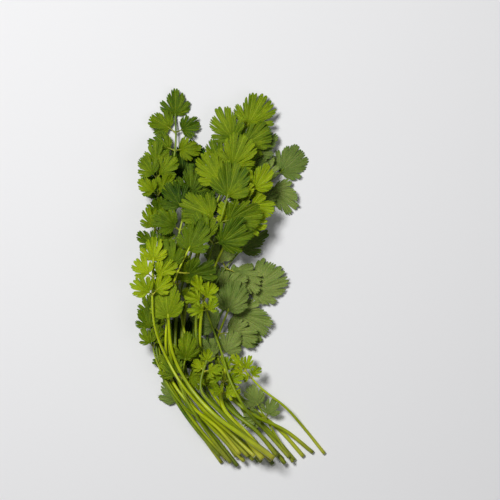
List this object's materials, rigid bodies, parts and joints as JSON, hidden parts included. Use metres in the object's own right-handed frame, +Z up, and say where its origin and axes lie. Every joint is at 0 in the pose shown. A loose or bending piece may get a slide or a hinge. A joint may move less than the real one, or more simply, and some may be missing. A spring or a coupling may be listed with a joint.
{
  "type": "coriander bunch",
  "caption": "Bunch of fresh coriander lying on its side: long curving stems with toothed, fan-shaped leaflets.",
  "frame": {"origin": "on the surface the bunch lies on, under the middle of its plan", "axes": "+X to the right and +Y towards the leaf tips, seen from above; +Z up"},
  "size_m": [0.1468, 0.2864, 0.0459],
  "materials": {
    "deep": "dull green leaf",
    "fresh": "fresh mid-green leaf",
    "pale": "pale yellow-green leaf and stalk",
    "dark": "dark green leaf"
  },
  "bodies": {
    "root": {"right_low": "deep", "left_low": "deep", "hidden_low": "dark", "hidden_left": "dark", "right_bulge": "deep", "right_wing": "deep", "crown_right": "deep", "top_left": "fresh", "left_edge_top": "fresh", "left_edge_middle": "fresh", "left_edge_low": "fresh", "centre_grey": "deep", "top_centre": "fresh", "middle_dark": "dark", "lower_grey": "deep", "foot_leaf": "deep", "fine_right": "pale", "bright_top": "fresh", "bright_right": "pale", "bright_fan": "fresh", "middle_left": "fresh", "dark_fan": "dark", "big_curly": "fresh", "thick_stub": "pale", "curly_pair": "pale", "kinked": "pale", "creased_leaf": "fresh", "front_left": "pale"}
  },
  "joints": []
}
